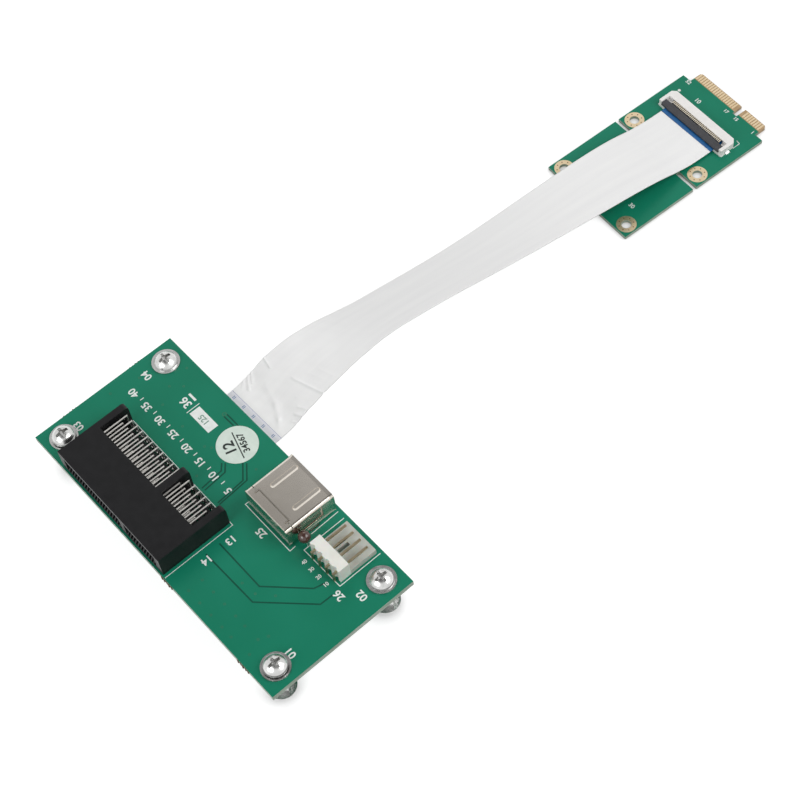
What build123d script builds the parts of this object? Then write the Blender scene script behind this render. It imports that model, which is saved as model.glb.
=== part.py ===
# Mini card to card-slot adapter: a large green board on four standoffs carries a right-angle
# edge-card slot, a USB port and a power header. A flat shielded ribbon joins it to a small plug-in
# card with gold edge contacts. Millimetres, +Z up, +Y from the large board towards the small card.
# The origin lies under the middle of the rigid pieces, on the surface that the adapter stands on.
from build123d import *
from math import asin, atan2, cos, degrees, radians, sin, tan
import os

# Main board
board_length = 90.0
board_width = 40.5
board_thickness = 1.6
board_hole_diameter = 3.4
board_hole_inset = 5.0

# Screws, washers and standoffs
screw_diameter = 2.9
screw_head_diameter = 5.9
screw_head_height = 1.9
screw_head_rim = 0.4
screw_head_ledge = 0.25
recess_arm = 3.4
recess_slot = 0.85
recess_depth = 1.2
recess_taper = 10.0
washer_diameter = 7.0
washer_bore = 3.2
washer_thickness = 0.5
standoff_across_flats = 5.0
standoff_bore = 3.0
standoff_height = 8.0
top_screw_length = 6.0
bottom_screw_length = 4.0
loose_screw_lift = 0.5

# Heights above the surface that the adapter stands on
board_bottom = screw_head_height + washer_thickness + standoff_height
board_top = board_bottom + board_thickness

# Edge-card slot: the mouth faces -Y
slot_from_left = 11.15
slot_length = 39.0
slot_height = 6.7
slot_body_depth = 11.05
slot_edge_gap = 0.5
slot_rib_length = 8.15
slot_rib_round = 0.95
slot_end_rib = 1.8
slot_middle_rib = 2.0
slot_gap_height = 1.75
slot_gap_centre = 3.15
slot_gap_depth = 8.4
slot_gap_margin = 0.9
slot_lead_in_height = 1.5
slot_lead_in_depth = 0.95
slot_key_width = 1.6
slot_window_depth = 1.3
slot_peg_diameter = 2.3
slot_peg_length = 1.2
slot_peg_clearance = 0.05
slot_peg_spacing = 30.0
contact_pitch = 1.0
long_group_count = 21
short_group_count = 11
key_gap = 3.0
groove_width = 0.6
groove_clearance = 0.15
lead_width = 0.35
lead_thickness = 0.25
upper_lead_height = 5.85
lower_lead_height = 1.35
lead_row_pitch = 1.95
last_lead_row = 1.4
spring_start = 4.3
spring_touch = 7.4
spring_tip = 9.0
spring_reach = 0.15
spring_release = 0.6
aligner_height = 1.0
aligner_clearance = 0.05
aligner_slot = 0.6
aligner_rim = 0.15
aligner_end = 0.3

# USB port: the mouth faces +Y
usb_from_right = 40.5
usb_width = 15.0
usb_depth = 13.8
usb_height = 7.0
usb_from_rear = 14.75
usb_sheet = 0.3
usb_corner = 0.8
usb_lip_length = 0.9
usb_lip_flare = 0.15
usb_rib_length = 7.9
usb_rib_width = 1.4
usb_rib_rise = 0.35
usb_rib_taper = 40.0
usb_rib_spacing = 8.0
usb_rib_start = 4.9
usb_window_length = 7.4
usb_window_height = 3.9
usb_window_start = 2.9
usb_finger_gap = 0.4
usb_finger_bow = 0.5
usb_leg_width = 2.4
usb_leg_start = 6.2
usb_leg_below = 0.9
usb_leg_clearance = 0.2
usb_seam_start = 2.45
usb_seam_inset = 2.0
usb_seam_end = 1.1
usb_seam_width = 0.28
usb_seam_depth = 0.12
usb_slit_start = 1.85
usb_slit_length = 1.7
usb_slit_width = 0.25
usb_block_start = 0.9
usb_block_depth = 3.2
usb_block_clearance = 0.05
usb_tongue_width = 11.1
usb_tongue_length = 7.5
usb_tongue_thickness = 1.8
usb_tongue_drop = 1.0
usb_pin_pitch = 2.3
usb_pin_width = 1.0
usb_pin_thickness = 0.25
usb_pin_inset = 0.6
usb_pin_clearance = 0.05

# Power header: an open tray with four pins, towards +Y
header_from_right = 21.0
header_width = 10.1
header_from_rear = 11.95
header_wall_depth = 3.0
header_wall_height = 5.0
header_depth = 10.5
header_tray_height = 1.7
header_pin_pitch = 2.5
header_pin_count = 4
header_pin_size = 0.5
header_pin_height = 3.0
header_pin_length = 9.3
header_pin_drop = 0.75
header_pin_clearance = 0.03
header_scallop = 0.85
header_scallop_back = 0.5
header_key_width = 0.9
header_key_start = 1.0
header_key_length = 3.2
header_key_offset = 4.6

# Dipped bead capacitor between the USB port and the header
bead_from_right = 23.9
bead_from_rear = 11.4
bead_diameter = 3.0
bead_lift = 1.5
bead_lead_diameter = 0.5
bead_lead_spacing = 1.8

# Solder under the main board
solder_radius = 0.62
solder_height = 0.8
solder_taper = 32.0
solder_side_count = 6

# Flat cable connector, used on the small card and upside down under the main board
ffc_way_count = 36
ffc_pitch = 0.5
ffc_width = 23.6
ffc_depth = 5.6
ffc_height = 2.0
ffc_floor = 0.5
ffc_block_start = 3.1
ffc_corner = 1.0
ffc_foot_start = 4.6
ffc_back_wall = 0.6
ffc_roof = 0.2
ffc_cheek = 0.95
ffc_cheek_start = 0.3
ffc_contact_width = 0.28
ffc_beam_top = 1.75
ffc_beam_start = 2.15
ffc_foot_length = 1.5
ffc_foot_thickness = 0.15
latch_clearance = 0.1
latch_length = 1.65
latch_thickness = 0.8
latch_chamfer = 0.25
latch_peg_diameter = 0.5
latch_peg_length = 0.4
latch_peg_clearance = 0.05
anchor_width = 1.4
anchor_foot = 0.6
anchor_rise = 1.1
anchor_sheet = 0.15

# Ribbon
ribbon_width = 18.5
ribbon_thickness = 0.3
ribbon_overrun = 1.0
cable_side_clearance = 0.1
cable_above_floor = 0.05
cable_end_inside = 4.1
cable_end_outside = 1.2

# Small card: its own frame has +Y towards the gold edge
card_width = 30.0
card_length = 50.95
card_thickness = 1.0
card_tab_length = 4.0
card_tab_left = 12.3
card_tab_right = 12.3
card_mask = 0.05
card_tab_corner = 0.5
card_hole_diameter = 2.6
card_pad_diameter = 5.2
card_hole_inset = 2.9
near_hole_from_tab = 23.9
far_hole_from_tab = 48.05
card_centre_from_tab = 25.0
snap_slot_length = 6.5
snap_slot_width = 1.2
snap_slot_from_tab = 27.4
notch_x = 3.85
notch_width = 1.5
notch_depth = 3.3
finger_pitch = 0.8
finger_width = 0.5
finger_length = 2.25
finger_end = 0.15
finger_clear = 2.0
finger_left_count = 18
finger_right_count = 8
card_x = -8.8
card_y = 152.5
card_turn = -3.2
card_ffc_mouth = 9.2

# Connector under the main board
board_ffc_from_left = 30.4
board_ffc_from_rear = 4.75

# Round paper label
label_diameter = 10.2
label_thickness = 0.1
label_from_left = 35.1
label_from_rear = 6.75

slot_front = -board_width / 2 + slot_edge_gap
slot_back = slot_front + slot_body_depth
slot_rear = slot_back + slot_rib_length
slot_left = slot_from_left - board_length / 2
slot_right = slot_left + slot_length
slot_centre_x = slot_left + slot_length / 2
slot_span = (long_group_count - 1 + short_group_count - 1) * contact_pitch + key_gap
contact_start = slot_centre_x - slot_span / 2
slot_z = board_top + slot_gap_centre
gap_top = slot_z + slot_gap_height / 2
gap_bottom = slot_z - slot_gap_height / 2
key_x = contact_start + (long_group_count - 1) * contact_pitch + key_gap / 2
usb_left = board_length / 2 - usb_from_right
usb_back = board_width / 2 - usb_from_rear
usb_middle = usb_left + usb_width / 2
usb_top = board_top + usb_height
header_left = board_length / 2 - header_from_right
header_back = board_width / 2 - header_from_rear
header_end = header_back + header_depth
header_pin_z = board_top + header_pin_height
bead_x = board_length / 2 - bead_from_right
bead_y = board_width / 2 - bead_from_rear
label_x = label_from_left - board_length / 2
label_y = board_width / 2 - label_from_rear
board_ffc_x = board_ffc_from_left - board_length / 2
board_ffc_mouth = board_width / 2 - board_ffc_from_rear
cable_z = ffc_floor + cable_above_floor + ribbon_thickness / 2

# The ribbon's centre line: distance from the main board's cable end, and height above the table
route = [
    (0.0, board_bottom - cable_z),
    (7.8, board_bottom - cable_z),
    (16.5, 16.0),
    (30.5, 19.4),
    (49.5, 15.2),
    (75.5, 11.6),
    (101.5, 9.2),
    (123.5, 6.3),
    (136.4, card_thickness + cable_z),
    (143.9, card_thickness + cable_z),
]


def block(x, y, z):
    """A box from its low and high values along each axis."""
    sizes = [high - low for low, high in (x, y, z)]
    middles = [(high + low) / 2 for low, high in (x, y, z)]
    return Pos(*middles) * Box(*sizes)


def side_profile(points, x, width):
    """A closed outline in the YZ plane, made as wide as given about x."""
    face = make_face(Polyline(*points, close=True))
    return Pos(x - width / 2) * extrude(Plane.YZ * face, width)


def bent_strip(points, thickness, x, width):
    """A bent strip: a line in the YZ plane with a thickness, mitred at its bends."""
    line = [Vector(*point) for point in points]
    runs = [(b - a).normalized() for a, b in zip(line, line[1:])]
    sides = [Vector(-run.Y, run.X) for run in runs]
    offsets = [sides[0]]
    for a, b in zip(sides, sides[1:]):
        middle = (a + b).normalized()
        offsets.append(middle * (1 / middle.dot(a)))
    offsets.append(sides[-1])
    upper = [p + o * (thickness / 2) for p, o in zip(line, offsets)]
    lower = [p - o * (thickness / 2) for p, o in zip(line, offsets)]
    return side_profile([(p.X, p.Y) for p in upper + lower[::-1]], x, width)


def group(pieces):
    """Separate solids kept together as one node."""
    return Compound([solid for piece in pieces for solid in piece.solids()])


def contact_places():
    """X of every slot contact, with its number, which tells its lead row."""
    first = [contact_start + i * contact_pitch for i in range(long_group_count)]
    second = [first[-1] + key_gap + i * contact_pitch for i in range(short_group_count)]
    return list(enumerate(first + second))


def lead_row(index, upper):
    """Y of the row of holes that a lead goes down in, counted from the ribs' rear ends."""
    row = index % 2 + (0 if upper else 2)
    return slot_rear - last_lead_row - row * lead_row_pitch


def board_hole_places():
    x = board_length / 2 - board_hole_inset
    y = board_width / 2 - board_hole_inset
    return [(-x, y), (-x, -y), (x, -y), (x, y)]


def header_pin_places():
    middle = header_left + header_width / 2
    first = middle - (header_pin_count - 1) * header_pin_pitch / 2
    return [first + i * header_pin_pitch for i in range(header_pin_count)]


def usb_pin_places():
    return [usb_middle + (i - 1.5) * usb_pin_pitch for i in range(4)]


def usb_leg_places():
    """X of the thin legs that go through the main board, just inside the shell's sides."""
    half_sheet = usb_sheet / 2
    return [usb_left + half_sheet, usb_left + usb_width - half_sheet]


def main_board():
    board = block(
        (-board_length / 2, board_length / 2),
        (-board_width / 2, board_width / 2),
        (board_bottom, board_top),
    )
    middle = (board_bottom + board_top) / 2
    for x, y in board_hole_places():
        board -= Pos(x, y, middle) * Cylinder(board_hole_diameter / 2, board_thickness)
    for side in (-1, 1):
        peg = Pos(slot_centre_x + side * slot_peg_spacing / 2, slot_front + slot_body_depth / 2, middle)
        board -= peg * Cylinder(slot_peg_diameter / 2 + slot_peg_clearance, board_thickness)
    for x in usb_leg_places():
        half = usb_sheet / 2 + usb_leg_clearance
        low = usb_back + usb_leg_start - usb_leg_clearance
        high = usb_back + usb_leg_start + usb_leg_width + usb_leg_clearance
        board -= block((x - half, x + half), (low, high), (board_bottom, board_top))
    return board


def pan_screw(length):
    """Cross-recess screw with a domed head, its seat at z = 0."""
    rim_radius = screw_head_diameter / 2
    radius = rim_radius - screw_head_ledge
    rise = screw_head_height - screw_head_rim
    dome_radius = (radius ** 2 + rise ** 2) / (2 * rise)
    dome_middle = screw_head_height - dome_radius
    half_turn = asin(radius / dome_radius) / 2
    shoulder = (dome_radius * sin(half_turn), dome_middle + dome_radius * cos(half_turn))
    outline = Polyline(
        (0, screw_head_height), (0, 0), (rim_radius, 0), (rim_radius, screw_head_rim), (radius, screw_head_rim)
    )
    outline += ThreePointArc((radius, screw_head_rim), shoulder, (0, screw_head_height))
    head = revolve(Plane.XZ * make_face(outline), Axis.Z)
    shank = Pos(0, 0, -length / 2) * Cylinder(screw_diameter / 2, length)
    cross = Rectangle(recess_arm, recess_slot) + Rectangle(recess_slot, recess_arm)
    recess = Pos(0, 0, screw_head_height) * extrude(cross, recess_depth, dir=(0, 0, -1), taper=recess_taper)
    return head + shank - recess


def washer():
    ring = Circle(washer_diameter / 2) - Circle(washer_bore / 2)
    return extrude(ring, washer_thickness)


def standoff():
    hexagon = RegularPolygon(standoff_across_flats / 2, 6, major_radius=False)
    return extrude(hexagon - Circle(standoff_bore / 2), standoff_height)


def at_board_holes(shape, z, upside_down=False, front_lift=0.0):
    turn = Rot(180, 0, 0) if upside_down else Rot(0, 0, 0)
    placed = []
    for x, y in board_hole_places():
        lift = front_lift if y < 0 else 0.0
        placed.append(Pos(x, y, z + lift) * turn * shape)
    return group(placed)


def slot_rib(x_low, x_high):
    """A rib behind the slot's body, with a rounded corner at the top of its rear end."""
    rib = block((x_low, x_high), (slot_back, slot_rear), (board_top, board_top + slot_height))
    top_edges = rib.edges().filter_by(Axis.X).group_by(Axis.Z)[-1]
    return fillet(top_edges.sort_by(Axis.Y)[-1], slot_rib_round)


def slot_gap_spans():
    """X ranges of the two stretches of the card gap, left and right of the key."""
    low = contact_start - slot_gap_margin
    high = contact_start + slot_span + slot_gap_margin
    return (low, key_x - slot_key_width / 2), (key_x + slot_key_width / 2, high)


def slot_housing():
    body = block(
        (slot_left, slot_right), (slot_front, slot_back), (board_top, board_top + slot_height)
    )
    body += slot_rib(slot_left, slot_left + slot_end_rib)
    body += slot_rib(slot_right - slot_end_rib, slot_right)
    body += slot_rib(key_x - slot_middle_rib / 2, key_x + slot_middle_rib / 2)
    cutters = []
    mouth_bottom = gap_bottom - slot_lead_in_height
    mouth_top = gap_top + slot_lead_in_height
    for low, high in slot_gap_spans():
        cutters.append(block((low, high), (slot_front, slot_front + slot_gap_depth), (gap_bottom, gap_top)))
        lead_in = [
            (slot_front, mouth_bottom),
            (slot_front, mouth_top),
            (slot_front + slot_lead_in_depth, gap_top),
            (slot_front + slot_lead_in_depth, gap_bottom),
        ]
        cutters.append(side_profile(lead_in, (low + high) / 2, high - low))
    high_groove = board_top + upper_lead_height + lead_thickness / 2 + groove_clearance
    low_groove = board_top + lower_lead_height - lead_thickness / 2 - groove_clearance
    inner = slot_front + slot_window_depth
    for _, x in contact_places():
        width = (x - groove_width / 2, x + groove_width / 2)
        cutters.append(block(width, (slot_front, inner), (mouth_bottom, mouth_top)))
        cutters.append(block(width, (inner, slot_back), (low_groove, high_groove)))
    body = body - cutters
    for side in (-1, 1):
        peg = Pos(
            slot_centre_x + side * slot_peg_spacing / 2,
            slot_front + slot_body_depth / 2,
            board_top - slot_peg_length / 2,
        )
        body += peg * Cylinder(slot_peg_diameter / 2, slot_peg_length)
    return body


def slot_contact(index, x, upper):
    """One contact: lead from the board, bend, straight run, and a spring bowed into the gap."""
    height = board_top + (upper_lead_height if upper else lower_lead_height)
    touch = (gap_top - spring_reach) if upper else (gap_bottom + spring_reach)
    away = spring_release if upper else -spring_release
    row = lead_row(index, upper)
    points = [
        (row, board_top),
        (row, height),
        (slot_back - spring_start, height),
        (slot_back - spring_touch, touch + away / 5),
        (slot_back - spring_tip, touch + away),
    ]
    return bent_strip(points, lead_thickness, x, lead_width)


def slot_contacts(upper):
    return group([slot_contact(i, x, upper) for i, x in contact_places()])


def slot_lead_aligner():
    """Black plate on the board behind the slot, with a slit for each row of leads."""
    spans = [
        (slot_left + slot_end_rib, key_x - slot_middle_rib / 2),
        (key_x + slot_middle_rib / 2, slot_right - slot_end_rib),
    ]
    plates = []
    for low, high in spans:
        x = (low + aligner_clearance, high - aligner_clearance)
        y = (slot_back + aligner_clearance, slot_rear - aligner_end)
        plate = block(x, y, (board_top, board_top + aligner_height))
        for upper in (True, False):
            for index in (0, 1):
                row = lead_row(index, upper)
                slit = (row - aligner_slot / 2, row + aligner_slot / 2)
                inside = (x[0] + aligner_rim, x[1] - aligner_rim)
                plate -= block(inside, slit, (board_top, board_top + aligner_height))
        plates.append(plate)
    return group(plates)


def solder_joint(x, y):
    """Solder cone under the main board with the lead's end inside it."""
    foot = RegularPolygon(solder_radius, solder_side_count)
    return Pos(x, y, board_bottom) * Rot(180, 0, 0) * extrude(foot, solder_height, taper=solder_taper)


def slot_solder():
    joints = [solder_joint(x, lead_row(i, upper)) for upper in (True, False) for i, x in contact_places()]
    return group(joints)


def port_solder():
    joints = [solder_joint(x, usb_back + usb_sheet + usb_pin_inset) for x in usb_pin_places()]
    joints += [solder_joint(x, header_back - header_pin_drop) for x in header_pin_places()]
    for side in (-1, 1):
        joints.append(solder_joint(bead_x + side * bead_lead_spacing / 2, bead_y))
    return group(joints)


def usb_outline(shrink, y, flare=0.0):
    """The shell's outline across its depth at y, smaller by shrink and wider by flare on each side."""
    width = usb_width + 2 * (flare - shrink)
    height = usb_height + 2 * (flare - shrink)
    plane = Plane((usb_middle, y, board_top + usb_height / 2), (1, 0, 0), (0, 1, 0))
    return plane * RectangleRounded(width, height, usb_corner - shrink)


def usb_lips():
    """The flared rim round the mouth, cut away at the bottom where the main board is."""
    lip_start = usb_back + usb_depth - usb_lip_length
    mouth = usb_back + usb_depth
    outer = loft([usb_outline(0, lip_start), usb_outline(0, mouth, usb_lip_flare)])
    inner = loft([usb_outline(usb_sheet, lip_start), usb_outline(usb_sheet, mouth, usb_lip_flare)])
    under = block(
        (usb_left - 1, usb_left + usb_width + 1), (lip_start, mouth), (board_bottom, board_top + usb_corner)
    )
    return outer - inner - under


def usb_top_ribs():
    """Two long raised ribs on the shell's top, in the direction of insertion."""
    ribs = []
    for side in (-1, 1):
        x = usb_middle + side * usb_rib_spacing / 2
        y = usb_back + usb_rib_start + usb_rib_length / 2
        outline = Rot(0, 0, 90) * SlotOverall(usb_rib_length, usb_rib_width)
        rib = extrude(outline, usb_rib_rise, taper=usb_rib_taper)
        ribs.append(Pos(x, y, usb_top) * rib)
    return ribs


def usb_seam():
    """Shallow pressed seam across the top near the rear, with short ends that turn back."""
    low = usb_left + usb_seam_inset
    high = usb_left + usb_width - usb_seam_inset
    y = (usb_back + usb_seam_start, usb_back + usb_seam_start + usb_seam_width)
    z = (usb_top - usb_seam_depth, usb_top)
    cuts = [block((low, high), y, z)]
    for x in (low, high - usb_seam_width):
        cuts.append(block((x, x + usb_seam_width), (y[0] - usb_seam_end, y[1]), z))
    return cuts


def usb_corner_slit(side):
    """Slit through the top corner, where the shell's rear flap is folded."""
    edge = usb_middle + side * usb_width / 2
    x = sorted((edge, edge - side * usb_slit_length))
    y = usb_back + usb_slit_start
    return block(x, (y, y + usb_slit_width), (usb_top - usb_corner, usb_top))


def usb_side_window(side):
    """Cut-out in a side wall, which a spring finger fills."""
    edge = usb_middle + side * usb_width / 2
    x = sorted((edge, edge - side * usb_sheet))
    y = usb_back + usb_window_start
    high = usb_top - usb_corner
    return block(x, (y, y + usb_window_length), (high - usb_window_height, high))


def usb_finger(side):
    """Spring finger in the side window, joined at the window's upper edge and bowed inwards."""
    wall = usb_middle + side * (usb_width / 2 - usb_sheet / 2)
    z_high = usb_top - usb_corner
    z_low = z_high - usb_window_height + usb_finger_gap
    bow = -side * usb_finger_bow
    line = [
        (wall, z_high),
        (wall, z_high - usb_window_height / 4),
        (wall + bow, z_low + usb_window_height / 4),
        (wall + bow / 2, z_low),
    ]
    left = [(x - usb_sheet / 2, z) for x, z in line]
    right = [(x + usb_sheet / 2, z) for x, z in line]
    face = make_face(Polyline(*(left + right[::-1]), close=True))
    width = usb_window_length - 2 * usb_finger_gap
    far_end = usb_back + usb_window_start + usb_window_length - usb_finger_gap
    return Pos(0, far_end, 0) * extrude(Plane.XZ * face, width)


def usb_shell():
    lip_start = usb_back + usb_depth - usb_lip_length
    inner_length = usb_depth - usb_lip_length - usb_sheet
    outer = extrude(usb_outline(0, usb_back), usb_depth - usb_lip_length)
    shell = outer - extrude(usb_outline(usb_sheet, usb_back + usb_sheet), inner_length)
    shell -= [usb_side_window(side) for side in (-1, 1)]
    shell -= usb_seam() + [usb_corner_slit(side) for side in (-1, 1)]
    contact_room = (usb_left + usb_corner, usb_left + usb_width - usb_corner)
    room_end = usb_back + usb_sheet + 2 * usb_pin_inset + usb_pin_thickness
    shell -= block(contact_room, (usb_back, room_end), (board_top, board_top + usb_corner))
    shell += usb_lips()
    for rib in usb_top_ribs():
        shell += rib
    for side in (-1, 1):
        shell += usb_finger(side)
    for x in usb_leg_places():
        y = usb_back + usb_leg_start
        half = usb_sheet / 2
        shell += block(
            (x - half, x + half), (y, y + usb_leg_width), (board_bottom - usb_leg_below, board_top + usb_corner)
        )
    return shell


def usb_insulator():
    """Plastic block at the shell's rear with the tongue that carries the contacts."""
    inset = usb_sheet + usb_block_clearance
    low_x = usb_left + inset + usb_finger_bow
    high_x = usb_left + usb_width - inset - usb_finger_bow
    back = usb_back + usb_sheet + usb_block_start
    front = back + usb_block_depth
    z_high = usb_top - inset
    base = block((low_x, high_x), (back, front), (board_top + inset, z_high))
    tongue_top = z_high - usb_tongue_drop
    tongue_low = tongue_top - usb_tongue_thickness
    tongue = block(
        (usb_middle - usb_tongue_width / 2, usb_middle + usb_tongue_width / 2),
        (front, front + usb_tongue_length),
        (tongue_low, tongue_top),
    )
    body = base + tongue
    for x in usb_pin_places():
        half = usb_pin_width / 2 + usb_pin_clearance
        groove = (tongue_low, tongue_low + usb_pin_thickness + usb_pin_clearance)
        body -= block((x - half, x + half), (back, front + usb_tongue_length - usb_pin_inset), groove)
    return body


def usb_contacts():
    """Four strips: down through the rear of the port, forward along the tongue's underside."""
    back = usb_back + usb_sheet + usb_pin_inset
    tongue_low = usb_top - usb_sheet - usb_block_clearance - usb_tongue_drop - usb_tongue_thickness
    low = tongue_low + usb_pin_thickness / 2
    front = usb_back + usb_sheet + usb_block_start + usb_block_depth
    end = front + usb_tongue_length - 2 * usb_pin_inset
    points = [(back, board_top), (back, low), (end, low)]
    return group([bent_strip(points, usb_pin_thickness, x, usb_pin_width) for x in usb_pin_places()])


def header_body():
    right = header_left + header_width
    wall_end = header_back + header_wall_depth
    wall = block(
        (header_left, right), (header_back, wall_end), (board_top, board_top + header_wall_height)
    )
    tray = block(
        (header_left, right), (wall_end, header_end), (board_top, board_top + header_tray_height)
    )
    body = wall + tray
    half = header_pin_size / 2 + header_pin_clearance
    for x in header_pin_places():
        scallop = Pos(x, header_back - header_scallop_back, board_top + header_wall_height / 2)
        body -= scallop * Cylinder(header_scallop, header_wall_height)
        pin_hole = (header_pin_z - half, header_pin_z + half)
        body -= block((x - half, x + half), (header_back, wall_end), pin_hole)
    key_middle = header_left + header_key_offset
    key = (key_middle - header_key_width / 2, key_middle + header_key_width / 2)
    key_start = wall_end + header_key_start
    key_height = (board_top, board_top + header_tray_height)
    return body - block(key, (key_start, key_start + header_key_length), key_height)


def header_pins():
    back = header_back - header_pin_drop
    points = [(back, board_top), (back, header_pin_z), (header_back + header_pin_length, header_pin_z)]
    return group([bent_strip(points, header_pin_size, x, header_pin_size) for x in header_pin_places()])


def bead_capacitor():
    ball = Pos(bead_x, bead_y, board_top + bead_lift + bead_diameter / 2) * Sphere(bead_diameter / 2)
    reach = bead_lift + bead_diameter / 4
    for side in (-1, 1):
        lead = Pos(bead_x + side * bead_lead_spacing / 2, bead_y, board_top + reach / 2)
        ball -= lead * Cylinder(bead_lead_diameter / 2, reach)
    return ball


def bead_leads():
    reach = bead_lift + bead_diameter / 4
    leads = []
    for side in (-1, 1):
        place = Pos(bead_x + side * bead_lead_spacing / 2, bead_y, board_top + reach / 2)
        leads.append(place * Cylinder(bead_lead_diameter / 2, reach))
    return group(leads)


def round_label():
    return Pos(label_x, label_y, board_top) * extrude(Circle(label_diameter / 2), label_thickness)


def ffc_housing():
    """Connector body: floor, rear block with a pocket for the contacts, and two cheeks."""
    half = ffc_width / 2
    latch_room = half - ffc_cheek
    floor = block((-half, half), (0, ffc_foot_start), (0, ffc_floor))
    rear = block((-half, half), (ffc_block_start, ffc_depth), (ffc_floor, ffc_height))
    cable_half = ribbon_width / 2 + cable_side_clearance
    pocket = block(
        (-cable_half, cable_half),
        (ffc_block_start, ffc_depth - ffc_back_wall),
        (ffc_floor, ffc_height - ffc_roof),
    )
    body = floor + rear - pocket
    body = chamfer(body.edges().filter_by(Axis.Z).group_by(Axis.Y)[-1], ffc_corner)
    for side in (-1, 1):
        x = sorted((side * latch_room, side * half))
        body += block(x, (ffc_cheek_start, ffc_block_start), (ffc_floor, ffc_height))
        guide = sorted((side * cable_half, side * latch_room))
        body += block(guide, (0.0, ffc_block_start), (ffc_floor, latch_low() - latch_clearance))
    y, z = latch_pivot()
    hole_length = 2 * (latch_room + latch_peg_length)
    hole = Cylinder(latch_peg_diameter / 2 + latch_peg_clearance, hole_length)
    return body - Pos(0, y, z) * Rot(0, 90, 0) * hole


def latch_low():
    """Height of the closed latch's underside."""
    return cable_z + ribbon_thickness / 2 + latch_clearance


def latch_pivot():
    """Y and Z of the axis that the latch turns about."""
    return latch_length, latch_low() + latch_thickness / 2


def ffc_latch():
    """Flip lock: a flat bar with a round rear edge about its pivot, and a peg at each end."""
    y, z = latch_pivot()
    radius = latch_thickness / 2
    outline = [
        (0.0, z - radius), (y, z - radius), (y, z + radius), (latch_chamfer, z + radius), (0.0, z)
    ]
    half = ffc_width / 2 - ffc_cheek - latch_clearance
    bar = side_profile(outline, 0, 2 * half)
    across = Pos(0, y, z) * Rot(0, 90, 0)
    bar += across * Cylinder(radius, 2 * half)
    return bar + across * Cylinder(latch_peg_diameter / 2, 2 * (half + latch_peg_length))


def ffc_contacts():
    """Contacts with a beam over the cable, a column behind it and a foot on the board."""
    half = ffc_foot_thickness / 2
    beam = ffc_beam_top - half
    column = ffc_foot_start + half
    points = [
        (ffc_beam_start + half, cable_z + ribbon_thickness / 2),
        (ffc_beam_start + half, beam),
        (column, beam),
        (column, half),
        (ffc_foot_start + ffc_foot_length, half),
    ]
    places = [(i - (ffc_way_count - 1) / 2) * ffc_pitch for i in range(ffc_way_count)]
    return group([bent_strip(points, ffc_foot_thickness, x, ffc_contact_width) for x in places])


def ffc_anchors():
    """Metal corner tabs that hold the connector's ends to the board."""
    pieces = []
    for side in (-1, 1):
        wall = sorted((side * ffc_width / 2, side * (ffc_width / 2 + anchor_sheet)))
        foot = sorted((side * ffc_width / 2, side * (ffc_width / 2 + anchor_foot)))
        y = (ffc_block_start - anchor_width, ffc_block_start)
        pieces.append(block(wall, y, (0, anchor_rise)) + block(foot, y, (0, anchor_sheet)))
    return group(pieces)


def cable_end():
    """Stiffened end of the ribbon, from just outside the connector to its stop inside."""
    low = cable_z - ribbon_thickness / 2
    half = ribbon_width / 2
    return block((-half, half), (-cable_end_outside, cable_end_inside), (low, low + ribbon_thickness))


def card_outline():
    """The small card's plan: body, edge tab with its key notch, and two snap-off slots."""
    far = card_centre_from_tab - card_length
    shoulder = card_centre_from_tab - card_tab_length
    body = Pos(0, (far + shoulder) / 2) * Rectangle(card_width, shoulder - far)
    slot_y = card_centre_from_tab - snap_slot_from_tab
    for side in (-1, 1):
        x = side * (card_width / 2 - snap_slot_length / 2)
        body -= Pos(x, slot_y) * Rectangle(snap_slot_length, snap_slot_width)
    for y in card_hole_rows():
        for side in (-1, 1):
            body -= Pos(side * card_hole_x(), y) * Circle(card_hole_diameter / 2)
    return body


def card_hole_x():
    return card_width / 2 - card_hole_inset


def card_hole_rows():
    return card_centre_from_tab - near_hole_from_tab, card_centre_from_tab - far_hole_from_tab


def card_board():
    body = extrude(card_outline(), card_thickness)
    for y in card_hole_rows():
        for side in (-1, 1):
            for z in (card_mask / 2, card_thickness - card_mask / 2):
                body -= Pos(side * card_hole_x(), y, z) * Cylinder(card_pad_diameter / 2, card_mask)
    shoulder = card_centre_from_tab - card_tab_length
    tab = block(
        (-card_tab_left, card_tab_right),
        (shoulder, card_centre_from_tab),
        (card_mask, card_thickness - card_mask),
    )
    tab = chamfer(tab.edges().filter_by(Axis.Z).group_by(Axis.Y)[-1], card_tab_corner)
    notch = block(
        (notch_x - notch_width / 2, notch_x + notch_width / 2),
        (card_centre_from_tab - notch_depth, card_centre_from_tab),
        (0, card_thickness),
    )
    return body + (tab - notch)


def finger_places():
    left = [notch_x - finger_clear - i * finger_pitch for i in range(finger_left_count)]
    right = [notch_x + finger_clear + i * finger_pitch for i in range(finger_right_count)]
    return left + right


def card_fingers():
    tip = card_centre_from_tab - finger_end
    y = (tip - finger_length, tip)
    fingers = []
    for x in finger_places():
        width = (x - finger_width / 2, x + finger_width / 2)
        fingers.append(block(width, y, (0, card_mask)))
        fingers.append(block(width, y, (card_thickness - card_mask, card_thickness)))
    return group(fingers)


def card_pads():
    """Gold rings round the card's holes, flush with both faces."""
    ring = extrude(Circle(card_pad_diameter / 2) - Circle(card_hole_diameter / 2), card_mask)
    rings = []
    for y in card_hole_rows():
        for side in (-1, 1):
            for z in (0, card_thickness - card_mask):
                rings.append(Pos(side * card_hole_x(), y, z) * ring)
    return group(rings)


def ribbon_radii():
    """Each corner's radius: 0.45 of the shorter run over the tangent of half the turn."""
    points = [Vector(*point) for point in route]
    runs = [b - a for a, b in zip(points, points[1:])]
    radii = []
    for a, b in zip(runs, runs[1:]):
        half_turn = radians(a.get_angle(b)) / 2
        radii.append(0.45 * min(a.length, b.length) / tan(half_turn))
    return radii


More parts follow.
